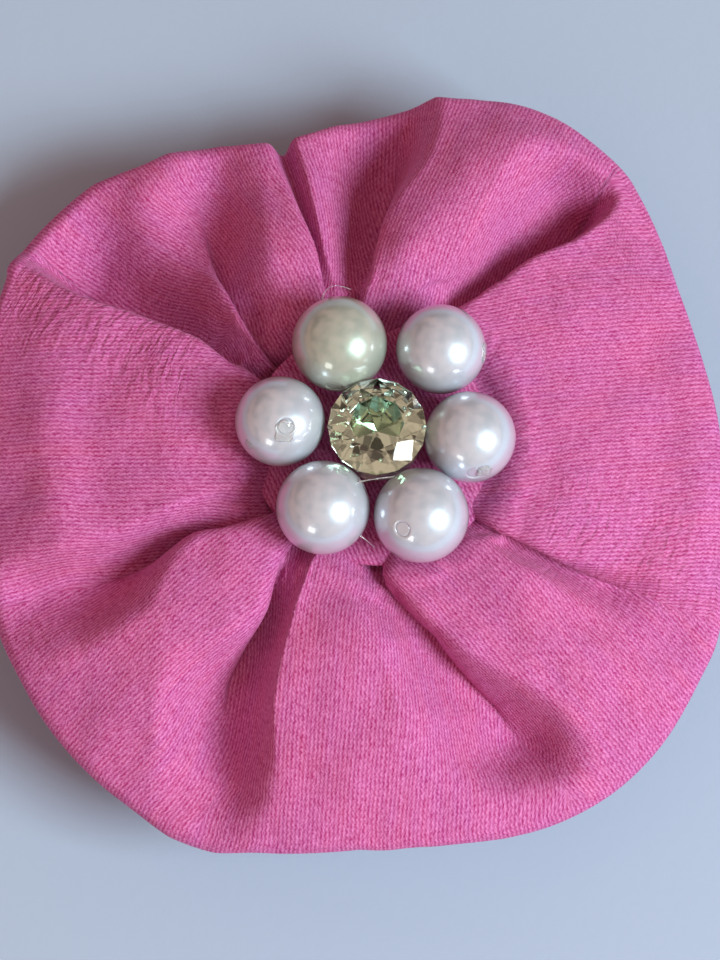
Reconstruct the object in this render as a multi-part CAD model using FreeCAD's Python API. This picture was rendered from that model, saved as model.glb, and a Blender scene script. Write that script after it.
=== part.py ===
import FreeCAD, Part
import math
import os

# Flower hair clip: a padded fabric flower with a heart of six bead pearls round one faceted
# glass stone, glued to a felt disc that carries a sprung metal alligator clip.
#
# Millimetres. +Z points out of the flower's face, so the clip is underneath and the part
# rests on Z = 0, the underside of the clip's squeeze pad. +X runs along the clip from its
# tip to its squeeze handle. The flower's outline is centred on X = 0, Y = 0.
#
# Everything is drawn round the flower's heart (the axis of the stone and pearl ring) and is
# moved to its place when it is written out.

# ---------------------------------------------------------------- driving dimensions
PEARL = 8.0                  # nominal bead diameter
STONE = 8.5                  # glass stone, across its girdle
PEARL_RING = 8.35            # mean distance of a pearl from the heart
CLIP_LENGTH = 45.0           # fixed jaw, tip to tail
SHEET = 0.6                  # clip sheet thickness
CLIP_WIDTH = 8.0             # fixed jaw, over its ears
FELT = 1.5                   # backing felt thickness
FELT_RADIUS = 17.0           # backing felt disc
STRAP = 1.2                  # felt strap thickness
STRAP_WIDTH = 9.0            # felt strap, along the clip
STRAP_REACH = 12.5           # felt strap, from the clip's middle to each end
FABRIC_NECK = 3.15           # gathered fabric, both layers squeezed, under the heart
FABRIC_CLOTH = 1.0           # single cloth thickness of the heart patch
GLUE = 0.3                   # every flat layer of glue
FABRIC_GLUE_RADIUS = 14.0    # glue between the felt and the gathered fabric
PATCH_GLUE_RADIUS = 10.0     # glue between the gathered fabric and the heart patch
CLIP_GLUE = (26.0, 5.0)      # glue between the fixed jaw and the felt, length and width
TOUCH = 0.05                 # air left between parts that only touch

# ---------------------------------------------------------------- heights, built up from Z = 0
JAW_UNDER = 9.0                                  # underside of the fixed jaw
JAW_TOP = JAW_UNDER + SHEET
FELT_UNDER = JAW_TOP + GLUE
FELT_TOP = FELT_UNDER + FELT
FABRIC_UNDER = FELT_TOP + GLUE
NECK_TOP = FABRIC_UNDER + FABRIC_NECK
PATCH_UNDER = NECK_TOP + GLUE
PATCH_TOP = PATCH_UNDER + FABRIC_CLOTH
PEARL_FOOT = PATCH_TOP + TOUCH                   # lowest point of each pearl
GIRDLE = PEARL_FOOT + 0.69 * PEARL               # middle of the stone's girdle
CREST = NECK_TOP + 3.6                           # highest fabric, round the heart

# ---------------------------------------------------------------- flower
# Rim of the flower: (angle in degrees round the heart, distance from the heart).
# 0 is +X. The rim dips in at the seam, where the two ends of the strip are joined.
RIM = (
    (5, 30.4), (28, 30.6), (60, 34.7), (85, 32.2), (108, 29.9), (130, 34.3), (155, 37.0),
    (182, 34.6), (210, 37.4), (243, 38.5), (272, 35.6), (301, 37.0), (332, 33.7), (352, 31.0),
)
# Valleys between the petals: (angle near the heart, angle near the rim, reach from the heart).
VALLEYS = (
    (61, 50, 29), (94, 88, 31), (110, 107, 31), (142, 129, 27), (152, 152, 31),
    (211, 205, 31), (234, 245, 34), (276, 299, 33), (321, 330, 31),
)
PATCH_RADIUS = 12.0          # round patch of the same cloth that covers the gathers
NECK_HOLE = 3.6              # open middle of the gathered strip
VALLEY_WIDE = 1.7            # half width of a valley beside the heart patch
VALLEY_FINE = 0.5            # half width where it runs out
RIM_ROUND = 1.6              # radius of the folded rim
# Sections of the flower's face and of its back, as (distance from the heart, height).
FLOWER_TOP = (
    (PATCH_RADIUS + 0.25, NECK_TOP + 1.2), (PATCH_RADIUS + 1.0, CREST - 0.5), (17.5, CREST),
    (24.0, CREST - 1.2), (30.0, CREST - 3.6), (36.0, CREST - 6.4), (50.0, CREST - 10.4),
)
FLOWER_UNDER = (
    (50.0, FABRIC_UNDER - 6.0), (36.0, FABRIC_UNDER - 3.6), (30.0, FABRIC_UNDER - 3.2),
    (24.0, FABRIC_UNDER - 2.2), (19.5, FABRIC_UNDER - 0.6), (17.5, FABRIC_UNDER),
)

# ---------------------------------------------------------------- heart
# Pearls: (angle, distance from the heart, diameter, direction of the threading hole).
PEARLS = (
    (354.5, PEARL_RING - 0.53, PEARL - 0.1, (0.09, -0.91, 0.40)),
    (53.1, PEARL_RING + 0.49, PEARL - 0.2, (0.97, -0.15, 0.15)),
    (114.9, PEARL_RING - 0.10, PEARL + 0.3, (0.10, 0.98, -0.17)),
    (175.6, PEARL_RING + 0.27, PEARL - 0.2, (0.15, -0.33, 0.93)),
    (235.1, PEARL_RING + 0.15, PEARL + 0.1, (0.92, 0.35, 0.15)),
    (294.9, PEARL_RING + 0.10, PEARL + 0.2, (-0.41, -0.46, 0.79)),
)
PEARL_HOLE = 0.6             # radius of the threading hole
PEARL_POLE = 0.965           # where the bead is flat round its hole, as a share of its radius
STONE_AT = (-0.23, -0.20)    # the stone sits a little off the heart's axis
COLLAR = (3.0, 2.85, 1.0)    # glue collar under a pearl: radius at its foot and top, height
MOUND = (3.4, 2.3)           # glue under the stone: radius at its foot and top
MOUND_BELOW = 2.3            # from the stone's girdle down to the top of that glue
MOUND_CUT = 1.07             # the hollow in it, as a share of the stone's lower half
GLUE_AIR = 0.02              # air between a collar and its pearl
THREAD_RADIUS = 0.25
THREAD_INSIDE = 0.55         # thread's middle line, inside the open middle of the strip
THREAD_APART = 0.7           # between its two turns
KNOT_RADIUS = 0.7
KNOT_AT = 110.0              # where the knot is, round the heart

# ---------------------------------------------------------------- clip
HINGE_X = 7.0
HINGE_Z = JAW_UNDER - 3.0
PIN_RADIUS = 0.75
PIN_SEAT = 0.01              # pin in the fixed ears, which are peened onto it
PIN_RUNNING = 0.05           # pin in the moving ears
FIXED_EAR = 2.1              # radius of the fixed ears round the pin
MOVING_EAR = 2.0
MOVING_WIDTH = 6.4
TIP_HALF = 2.8               # half width of the fixed jaw's rounded tip
TAIL_HALF = 3.2              # half width of its rounded tail
BEND = 1.5                   # middle radius of the bends in the moving jaw
BITE = JAW_UNDER - 0.1       # tips of the moving jaw's teeth when it is closed
PAD = 5.0                    # length of the squeeze pad
PIN_HEAD = (1.25, 0.8, 0.55)     # pin's domed head: radius at the ear, at its end, height
WIRE_RADIUS = 0.3
COIL_RADIUS = 1.2
COIL_TURNS = 5
COIL_HALF = 2.0              # half the length of the coil, along the pin
TOOTH_PITCH = 1.5
TOOTH_DEPTH = 1.1
TEETH = 7


def vec(x, y, z):
    return FreeCAD.Vector(x, y, z)


def polar(angle, radius, z=0.0):
    a = math.radians(angle)
    return vec(radius * math.cos(a), radius * math.sin(a), z)


def prism(points, direction):
    """A solid with a flat polygon for its section."""
    return Part.Face(Part.makePolygon(list(points) + [points[0]])).extrude(direction)


def cylinder_y(radius, y0, y1, x, z):
    return Part.makeCylinder(radius, y1 - y0, vec(x, y0, z), vec(0, 1, 0))


# ---------------------------------------------------------------- bent strips
def corner_arcs(path, bend):
    """For each inner point of a path: its arc's centre, and the unit normals where the arc
    starts and ends. Points and normals are pairs in the strip's own plane."""
    arcs = []
    for before, at, after in zip(path, path[1:], path[2:]):
        d0 = (at[0] - before[0], at[1] - before[1])
        d1 = (after[0] - at[0], after[1] - at[1])
        l0, l1 = math.hypot(*d0), math.hypot(*d1)
        n0 = (-d0[1] / l0, d0[0] / l0)
        n1 = (-d1[1] / l1, d1[0] / l1)
        turn = math.copysign(1.0, d0[0] * d1[1] - d0[1] * d1[0])
        half = 1.0 + n0[0] * n1[0] + n0[1] * n1[1]
        centre = tuple(at[k] + turn * bend * (n0[k] + n1[k]) / half for k in (0, 1))
        arcs.append((centre, n0, n1, turn))
    return arcs


def bent_strip(path, thickness, bend, place, direction):
    """A strip of constant thickness with rounded bends. place turns a pair in the strip's
    plane into a point, and direction extrudes its section to the strip's full width."""
    arcs = corner_arcs(path, bend)
    sides = []
    first, last = arcs[0][1], arcs[-1][2]
    for side in (thickness / 2, -thickness / 2):
        here = place(path[0][0] + side * first[0], path[0][1] + side * first[1])
        edges = []
        for centre, n0, n1, turn in arcs:
            radius = side - turn * bend
            mid = (n0[0] + n1[0], n0[1] + n1[1])
            size = math.hypot(*mid)
            start, middle, end = (
                place(centre[0] + radius * n[0], centre[1] + radius * n[1])
                for n in (n0, (mid[0] / size, mid[1] / size), n1)
            )
            edges.append(Part.makeLine(here, start))
            edges.append(Part.Arc(start, middle, end).toShape())
            here = end
        tip = place(path[-1][0] + side * last[0], path[-1][1] + side * last[1])
        edges.append(Part.makeLine(here, tip))
        sides.append(edges)
    ends = [
        Part.makeLine(sides[0][0].Vertexes[0].Point, sides[1][0].Vertexes[0].Point),
        Part.makeLine(sides[0][-1].Vertexes[-1].Point, sides[1][-1].Vertexes[-1].Point),
    ]
    section = Part.Wire(Part.__sortEdges__(sides[0] + sides[1] + ends))
    return Part.Face(section).extrude(direction)


# ---------------------------------------------------------------- the flower's fabric
def rim_edge():
    curve = Part.BSplineCurve()
    curve.interpolate(Points=[polar(a, r) for a, r in RIM], PeriodicFlag=True)
    return curve.toShape()


def on_section(points):
    """The points of a section, (radius, height) pairs, as vectors in the X Z plane."""
    return [vec(r, 0, z) for r, z in points]


def curve_through(points):
    curve = Part.BSplineCurve()
    curve.interpolate(on_section(points))
    return curve.toShape()


def lines_through(points):
    corners = on_section(points)
    return [Part.makeLine(p, q) for p, q in zip(corners, corners[1:])]


def flower_fabric():
    """The folded strip, gathered into a ring: a lobed cushion with a dished middle."""
    outline = Part.Face(Part.Wire(rim_edge())).extrude(vec(0, 0, PATCH_TOP + PEARL))
    neck = [FLOWER_UNDER[-1], (NECK_HOLE, FABRIC_UNDER), (NECK_HOLE, NECK_TOP),
            (FLOWER_TOP[0][0], NECK_TOP), FLOWER_TOP[0]]
    edges = [curve_through(FLOWER_TOP), curve_through(FLOWER_UNDER)]
    edges += lines_through([FLOWER_TOP[-1], FLOWER_UNDER[0]]) + lines_through(neck)
    section = Part.Face(Part.Wire(Part.__sortEdges__(edges)))
    body = section.revolve(vec(0, 0, 0), vec(0, 0, 1), 360).common(outline)
    long_edges = [e for e in body.Edges if e.Length > 5 * RIM[0][1]]
    body = body.makeFillet(RIM_ROUND, long_edges)
    for near, rim, reach in VALLEYS:
        body = body.cut(valley(near, rim, PATCH_RADIUS - 0.5, reach, FLOWER_TOP))
        body = body.cut(valley(near, rim, 18.5, reach, FLOWER_UNDER))
    return body


def height_on(points, radius):
    """Height of a section of the flower at a distance from the heart."""
    ordered = sorted(points)
    for (r0, z0), (r1, z1) in zip(ordered, ordered[1:]):
        if radius <= r1:
            return z0 + (z1 - z0) * (radius - r0) / (r1 - r0)
    raise ValueError("the section ends before this radius")


def valley(near, rim, inner, reach, section):
    """A tapering groove along the fabric's surface, from beside the heart to its reach."""
    rows = []
    for share in (0, 0.33, 0.67, 1):
        radius = inner + (reach - inner) * share
        height = height_on(section, radius)
        wide = VALLEY_WIDE + (VALLEY_FINE - VALLEY_WIDE) * share
        rows.append((polar(near + (rim - near) * share, radius, height), wide))
    groove = Part.makeSphere(rows[0][1], rows[0][0])
    for (p0, r0), (p1, r1) in zip(rows, rows[1:]):
        groove = groove.fuse(Part.makeCone(r0, r1, (p1 - p0).Length, p0, p1 - p0))
        groove = groove.fuse(Part.makeSphere(r1, p1))
    return groove


def gathering_thread():
    """Two turns of thread that draw up the strip's raw edges, with their knot."""
    loop = NECK_HOLE - THREAD_INSIDE
    middle = FABRIC_UNDER + FABRIC_NECK / 2
    heights = (middle - THREAD_APART / 2, middle + THREAD_APART / 2)
    turns = [Part.makeTorus(loop, THREAD_RADIUS, vec(0, 0, z)) for z in heights]
    knot = Part.makeSphere(KNOT_RADIUS, polar(KNOT_AT, loop - THREAD_RADIUS, middle))
    return knot.fuse(turns)


# ---------------------------------------------------------------- the heart
def heart_patch():
    """Round of cloth over the gathers, with its cut edge softened."""
    patch = disc(PATCH_RADIUS, FABRIC_CLOTH, PATCH_UNDER)
    edges = [e for e in patch.Edges if e.Curve.TypeId == "Part::GeomCircle"]
    return patch.makeFillet(0.35 * FABRIC_CLOTH, edges)


def pearl(angle, distance, diameter, hole):
    radius = diameter / 2
    centre = polar(angle, distance, PEARL_FOOT + radius)
    axis = vec(*hole).normalize()
    flat = PEARL_POLE * radius
    bead = Part.makeSphere(radius, centre)
    slab = Part.makeCylinder(radius, 2 * flat, centre - axis * flat, axis)
    bore = Part.makeCylinder(PEARL_HOLE, diameter, centre - axis * radius, axis)
    return bead.common(slab).cut(bore)


def pearl_glue():
    """A clear collar under each pearl, and the mound that the stone is bedded in."""
    collars = []
    for angle, distance, diameter, _ in PEARLS:
        radius = diameter / 2
        foot = Part.makeCone(*COLLAR, polar(angle, distance, PATCH_TOP))
        ball = Part.makeSphere(radius + GLUE_AIR, polar(angle, distance, PEARL_FOOT + radius))
        collars.append(foot.cut(ball))
    x, y = STONE_AT
    mound_height = GIRDLE - MOUND_BELOW - PATCH_TOP
    mound = Part.makeCone(*MOUND, mound_height, vec(x, y, PATCH_TOP))
    collars.append(mound.cut(stone_pavilion(MOUND_CUT)))
    return Part.makeCompound(collars)


def stone_rings():
    """The stone's corner points, ring by ring, from the table down to the culet."""
    radius = STONE / 2
    table, upper, lower = 0.56 * radius, 0.80 * radius, 0.42 * radius
    table_z, girdle_z, culet_z = 0.30 * radius, 0.03 * radius, -0.80 * radius
    lean = math.cos(math.radians(22.5))
    upper_z = table_z + (upper * lean - table) / (radius - table) * (girdle_z - table_z)
    lower_z = culet_z + lower * lean / radius * (-girdle_z - culet_z)
    return {
        "table": [polar(45 * k, table, table_z) for k in range(8)],
        "upper": [polar(45 * k + 22.5, upper, upper_z) for k in range(8)],
        "rim_top": [polar(22.5 * k, radius, girdle_z) for k in range(16)],
        "rim_bottom": [polar(22.5 * k, radius, -girdle_z) for k in range(16)],
        "lower": [polar(45 * k + 22.5, lower, lower_z) for k in range(8)],
        "culet": vec(0, 0, culet_z),
    }


def facets_to_solid(facets):
    faces = [Part.Face(Part.makePolygon(f + [f[0]])) for f in facets]
    return Part.makeSolid(Part.makeShell(faces))


def pavilion_facets(ring):
    """Eight kites from the culet to the girdle, with two triangles between neighbours."""
    facets = []
    for k in range(8):
        g, after = 2 * k, (2 * k + 2) % 16
        girdle, low = ring["rim_bottom"], ring["lower"]
        facets.append([ring["culet"], low[k - 1], girdle[g], low[k]])
        facets.append([low[k], girdle[g], girdle[g + 1]])
        facets.append([low[k], girdle[g + 1], girdle[after]])
    return facets


def glass_stone():
    """A round brilliant with a pointed back: table, stars, kites, halves and pavilion."""
    ring = stone_rings()
    table, upper, girdle = ring["table"], ring["upper"], ring["rim_top"]
    facets = [list(table)]
    for k in range(8):
        g, after = 2 * k, (2 * k + 2) % 16
        facets.append([table[k], upper[k - 1], girdle[g], upper[k]])
        facets.append([table[k], table[(k + 1) % 8], upper[k]])
        facets.append([upper[k], girdle[g], girdle[g + 1]])
        facets.append([upper[k], girdle[g + 1], girdle[after]])
    for k in range(16):
        nxt = (k + 1) % 16
        facets.append([girdle[k], girdle[nxt], ring["rim_bottom"][nxt], ring["rim_bottom"][k]])
    stone = facets_to_solid(facets + pavilion_facets(ring))
    stone.translate(vec(*STONE_AT, GIRDLE))
    return stone


def stone_pavilion(scale):
    """The back of the stone alone, enlarged round the middle of the girdle."""
    ring = stone_rings()
    solid = facets_to_solid(pavilion_facets(ring) + [list(reversed(ring["rim_bottom"]))])
    solid.scale(scale, vec(0, 0, 0))
    solid.translate(vec(*STONE_AT, GIRDLE))
    return solid


def stone_foil():
    """The mirror coat on the stone's back, from just under the girdle to the point."""
    coat = stone_pavilion(1.05).cut(stone_pavilion(1.008))
    low = GIRDLE - STONE
    below = Part.makeCylinder(STONE, STONE - 0.5, vec(*STONE_AT, low))
    return coat.common(below)


# ---------------------------------------------------------------- felt and glue at the back
def disc(radius, thickness, z):
    return Part.makeCylinder(radius, thickness, vec(0, 0, z))


def clip_strap():
    """Felt band that passes between the jaws and holds the fixed jaw to the backing."""
    low = JAW_UNDER - TOUCH - STRAP / 2
    high = FELT_UNDER - STRAP / 2
    under, over = CLIP_WIDTH / 2 + 1.2, CLIP_WIDTH / 2 + 2.9
    path = [(-STRAP_REACH, high), (-over, high), (-under, low),
            (under, low), (over, high), (STRAP_REACH, high)]
    near = HINGE_X - FIXED_EAR - 3.4 - STRAP_WIDTH
    return bent_strip(path, STRAP, 0.8, lambda y, z: vec(near, y, z), vec(STRAP_WIDTH, 0, 0))


def clip_glue():
    """The glue between the fixed jaw and the backing felt, over the strap."""
    long, wide = CLIP_GLUE
    return Part.makeBox(long, wide, GLUE, vec(-12.0, -wide / 2, JAW_TOP))


# ---------------------------------------------------------------- the alligator clip
def ear(radius, y, feet):
    """A hinge lug: round about the pin, widening to its feet, the (x, z) points where it
    joins its jaw, listed from the tail's side to the tip's."""
    eye = cylinder_y(radius, y, y + SHEET, HINGE_X, HINGE_Z)
    sides = [(HINGE_X - radius, HINGE_Z), (HINGE_X + radius, HINGE_Z)]
    plate = prism([vec(x, y, z) for x, z in sides + list(feet)], vec(0, SHEET, 0))
    return eye.fuse(plate)


def fixed_jaw():
    """Flat top prong with a tapered, rounded tip and two ears bent down at the hinge."""
    half = CLIP_WIDTH / 2
    tip, tail = -CLIP_LENGTH / 2, CLIP_LENGTH / 2
    # Half of the outline, from the tip's round end to the tail's, as (x, y) corners.
    side = [(tip + TIP_HALF, TIP_HALF), (HINGE_X - 4, half), (HINGE_X + 4, half),
            (tail - TAIL_HALF, TAIL_HALF)]
    far = [vec(x, y, JAW_UNDER) for x, y in side]
    near = [vec(x, -y, JAW_UNDER) for x, y in side]
    outline = [
        Part.Arc(far[0], vec(tip, 0, JAW_UNDER), near[0]).toShape(),
        Part.makePolygon(near),
        Part.Arc(near[-1], vec(tail, 0, JAW_UNDER), far[-1]).toShape(),
        Part.makePolygon(far[::-1]),
    ]
    jaw = Part.Face(Part.Wire(outline)).extrude(vec(0, 0, SHEET))
    root = JAW_UNDER + SHEET / 2
    for y in (-half, half - SHEET):
        jaw = jaw.fuse(ear(FIXED_EAR, y, [(HINGE_X + 3.0, root), (HINGE_X - 3.0, root)]))
    hole = cylinder_y(PIN_RADIUS + PIN_SEAT, -half - 1, half + 1, HINGE_X, HINGE_Z)
    return jaw.cut(hole).removeSplitter()


def web_path():
    """The moving jaw's web, from the squeeze pad's end to the tip, as (x, z) pairs."""
    end = CLIP_LENGTH / 2
    return [(end, SHEET / 2), (end - PAD, SHEET / 2), (HINGE_X + 0.5, HINGE_Z - 2.5),
            (HINGE_X - 13.0, HINGE_Z - 1.4), (-end, BITE - SHEET / 2)]


def web_height(x):
    """Height of the middle of the moving jaw's web."""
    path = web_path()
    for (x0, z0), (x1, z1) in zip(path, path[1:]):
        if x1 <= x <= x0:
            return z0 + (z1 - z0) * (x - x0) / (x1 - x0)
    raise ValueError("x is off the moving jaw")


def moving_jaw():
    """Bent lower prong: squeeze pad, ears on the pin, and toothed flanges at the tip."""
    half = MOVING_WIDTH / 2
    path = web_path()
    jaw = bent_strip(path, SHEET, BEND, lambda x, z: vec(x, -half, z), vec(0, MOVING_WIDTH, 0))
    first = -CLIP_LENGTH / 2 + 2.2
    last = first + TEETH * TOOTH_PITCH
    crown = []
    for k in range(TEETH):
        x = first + k * TOOTH_PITCH
        crown += [(x, BITE - TOOTH_DEPTH), (x + TOOTH_PITCH / 2, BITE)]
    crown.append((last, BITE - TOOTH_DEPTH))
    foot = [(x, web_height(x)) for x in (last + 2.0, first - 1.0)]
    heel, toe = HINGE_X + 1.6 * MOVING_EAR, HINGE_X - 1.6 * MOVING_EAR
    feet = [(heel, web_height(heel)), path[2], (toe, web_height(toe))]
    for y in (-half, half - SHEET):
        jaw = jaw.fuse(prism([vec(x, y, z) for x, z in crown + foot], vec(0, SHEET, 0)))
        jaw = jaw.fuse(ear(MOVING_EAR, y, feet))
    hole = cylinder_y(PIN_RADIUS + PIN_RUNNING, -half - 1, half + 1, HINGE_X, HINGE_Z)
    return jaw.cut(hole).removeSplitter()


def hinge_pin():
    """Rivet pin with a domed head outside each fixed ear."""
    half = CLIP_WIDTH / 2
    wide, narrow, high = PIN_HEAD
    pin = cylinder_y(PIN_RADIUS, -half - high / 2, half + high / 2, HINGE_X, HINGE_Z)
    for out in (1, -1):
        seat = vec(HINGE_X, out * (half + 2 * PIN_SEAT), HINGE_Z)
        pin = pin.fuse(Part.makeCone(wide, narrow, high, seat, vec(0, out, 0)))
    return pin.removeSplitter()


def tangent_angle(x, z, upper):
    """Where a straight leg that ends at x, z meets the coil, as an angle round the pin."""
    dx, dz = x - HINGE_X, z - HINGE_Z
    far = math.hypot(dx, dz)
    lean = math.acos(COIL_RADIUS / far)
    return math.atan2(dz, dx) + (lean if upper else -lean)


def torsion_spring():
    """Wire coil on the pin. One leg presses the fixed jaw, the other the squeeze handle."""
    rest_x = 15.0
    lean = math.hypot(1, web_height(rest_x) - web_height(rest_x + 1))
    clear = WIRE_RADIUS + TOUCH
    top_end = vec(17.0, -COIL_HALF, JAW_UNDER - clear)
    low_end = vec(rest_x, COIL_HALF, web_height(rest_x) + (SHEET / 2 + clear) * lean)
    start = tangent_angle(top_end.x, top_end.z, upper=True)
    stop = tangent_angle(low_end.x, low_end.z, upper=False)
    turns = COIL_TURNS + 1 + (stop - start) / (2 * math.pi)
    helix = Part.makeHelix(2 * COIL_HALF / turns, 2 * COIL_HALF, COIL_RADIUS, 0, True)
    section = Part.Wire(Part.makeCircle(WIRE_RADIUS, vec(COIL_RADIUS, 0, 0), vec(0, 1, 0)))
    spring = Part.Wire(helix.Edges).makePipeShell([section], True, True)
    spring.rotate(vec(0, 0, 0), vec(1, 0, 0), -90)
    spring.rotate(vec(0, 0, 0), vec(0, 1, 0), -math.degrees(start))
    spring.translate(vec(HINGE_X, -COIL_HALF, HINGE_Z))
    for angle, end in ((start, top_end), (stop, low_end)):
        corner = vec(HINGE_X + COIL_RADIUS * math.cos(angle), end.y,
                     HINGE_Z + COIL_RADIUS * math.sin(angle))
        leg = end - corner
        spring = spring.fuse(Part.makeSphere(WIRE_RADIUS + 0.01, corner))
        spring = spring.fuse(Part.makeCylinder(WIRE_RADIUS, leg.Length, corner, leg))
    return spring


# ---------------------------------------------------------------- writing the parts out
def heart_place():
    """The heart's place, which puts the flower's outline in the middle of X and Y."""
    points = rim_edge().discretize(720)
    xs = [p.x for p in points]
    ys = [p.y for p in points]
    return vec(-(min(xs) + max(xs)) / 2, -(min(ys) + max(ys)) / 2, 0)


def parts():
    made = {
        "flower_fabric": flower_fabric(),
        "gathering_thread": gathering_thread(),
        "fabric_glue": disc(FABRIC_GLUE_RADIUS, GLUE, FELT_TOP),
        "heart_patch": heart_patch(),
        "patch_glue": disc(PATCH_GLUE_RADIUS, GLUE, NECK_TOP),
        "pearl_glue": pearl_glue(),
        "glass_stone": glass_stone(),
        "stone_foil": stone_foil(),
        "backing_felt": disc(FELT_RADIUS, FELT, FELT_UNDER),
        "clip_strap": clip_strap(),
        "clip_glue": clip_glue(),
        "fixed_jaw": fixed_jaw(),
        "moving_jaw": moving_jaw(),
        "hinge_pin": hinge_pin(),
        "torsion_spring": torsion_spring(),
    }
    for k, row in enumerate(PEARLS):
        made["pearl_%d" % (k + 1)] = pearl(*row)
    return made


os.makedirs("parts", exist_ok=True)
place = heart_place()
for name, shape in parts().items():
    shape.translate(place)
    shape.exportStep("parts/%s.step" % name)
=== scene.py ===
"""Looks of the flower hair clip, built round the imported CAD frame. Metres, +Z out of the flower.

Lengths inside the script are in millimetres and are scaled by MM when a mesh is made.
Angles round the heart are in degrees, 0 along +X and anticlockwise seen from above.
"""
import math
from collections import namedtuple

import bmesh
import bpy
import numpy as np
from mathutils import Matrix, Vector
from numpy.linalg import norm

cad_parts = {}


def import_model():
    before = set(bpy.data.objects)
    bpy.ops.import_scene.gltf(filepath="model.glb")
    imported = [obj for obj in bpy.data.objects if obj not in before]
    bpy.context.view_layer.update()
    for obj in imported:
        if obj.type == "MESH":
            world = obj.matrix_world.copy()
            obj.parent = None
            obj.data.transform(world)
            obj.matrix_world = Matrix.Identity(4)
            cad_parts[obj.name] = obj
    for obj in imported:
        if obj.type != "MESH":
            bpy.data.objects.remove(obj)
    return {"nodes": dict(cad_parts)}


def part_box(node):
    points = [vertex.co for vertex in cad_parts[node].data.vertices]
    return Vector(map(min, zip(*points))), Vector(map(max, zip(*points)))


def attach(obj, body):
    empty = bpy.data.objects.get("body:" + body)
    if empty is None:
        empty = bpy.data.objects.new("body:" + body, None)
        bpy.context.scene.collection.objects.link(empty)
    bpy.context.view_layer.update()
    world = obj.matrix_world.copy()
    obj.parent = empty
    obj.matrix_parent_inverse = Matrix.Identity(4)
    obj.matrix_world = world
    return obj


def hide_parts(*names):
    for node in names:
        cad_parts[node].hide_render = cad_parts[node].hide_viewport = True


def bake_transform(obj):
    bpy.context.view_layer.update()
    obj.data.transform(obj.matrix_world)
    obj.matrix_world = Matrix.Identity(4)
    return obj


MM = 0.001
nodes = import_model()["nodes"]
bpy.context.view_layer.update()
scene = bpy.context.scene
rng = np.random.default_rng(7)


def box_mm(node):
    """Lowest and highest corners of a CAD node, in millimetres."""
    low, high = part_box(node)
    return np.array(low) / MM, np.array(high) / MM


patch_low, patch_high = box_mm("heart_patch")
felt_low, felt_high = box_mm("backing_felt")
HEART = (patch_low + patch_high)[:2] / 2         # axis of the stone and the pearl ring
PATCH_R = (patch_high[0] - patch_low[0]) / 2
FELT_R = (felt_high[0] - felt_low[0]) / 2


# ---- small helpers
def adjust(thing, **settings):
    for name, value in settings.items():
        setattr(thing, name, value)


def add_object(name, data):
    obj = bpy.data.objects.new(name, data)
    scene.collection.objects.link(obj)
    return obj


def mesh_object(name, verts, faces):
    mesh = bpy.data.meshes.new(name)
    mesh.from_pydata((np.asarray(verts, float) * MM).tolist(), [], faces)
    mesh.update()
    for p in mesh.polygons:
        p.use_smooth = True
    return add_object(name, mesh)


def points_of(mesh):
    """A mesh's points, in millimetres."""
    co = np.empty(len(mesh.vertices) * 3)
    mesh.vertices.foreach_get("co", co)
    return co.reshape(-1, 3) / MM


def grid_faces(rows, columns, close_rows=False):
    """Quads of a grid whose columns wrap round, and whose rows do too if close_rows is set."""
    faces = []
    for j in range(rows if close_rows else rows - 1):
        low, high = j * columns, (j + 1) % rows * columns
        for i in range(columns):
            after = (i + 1) % columns
            faces.append((low + i, low + after, high + after, high + i))
    return faces


def smoothstep(low, high, x):
    u = np.clip((x - low) / (high - low), 0, 1)
    return u * u * (3 - 2 * u)


def wrap(angle):
    """Angle brought into -180..180 degrees."""
    return (angle + 180.0) % 360.0 - 180.0


def circle(turn, radius):
    """Points of a circle in plan, at angles in radians."""
    return np.column_stack([radius * np.cos(turn), radius * np.sin(turn)])


def polar(points):
    """Distances and angles in radians of points in plan, from the origin."""
    return np.hypot(points[:, 0], points[:, 1]), np.arctan2(points[:, 1], points[:, 0])


def between(ends, share):
    return ends[0] + (ends[1] - ends[0]) * share


def smooth_round(values, kernel):
    """Values round a closed line, averaged over their neighbours by a kernel's weights."""
    reach = len(kernel) // 2
    around = np.r_[values[-reach:], values, values[:reach]]
    return np.convolve(around, kernel / kernel.sum(), "valid")


def unit(v):
    v = np.asarray(v, float)
    return v / norm(v)


def across(axis):
    """Two directions square to an axis and to each other."""
    axis = unit(axis)
    first = unit(np.cross(axis, (0.0, 0.0, 1.0) if abs(axis[2]) < 0.9 else (1.0, 0.0, 0.0)))
    return first, np.cross(axis, first)


FIBRE_SPREAD = 0.9           # how far loose fibres lean out of square


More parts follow.
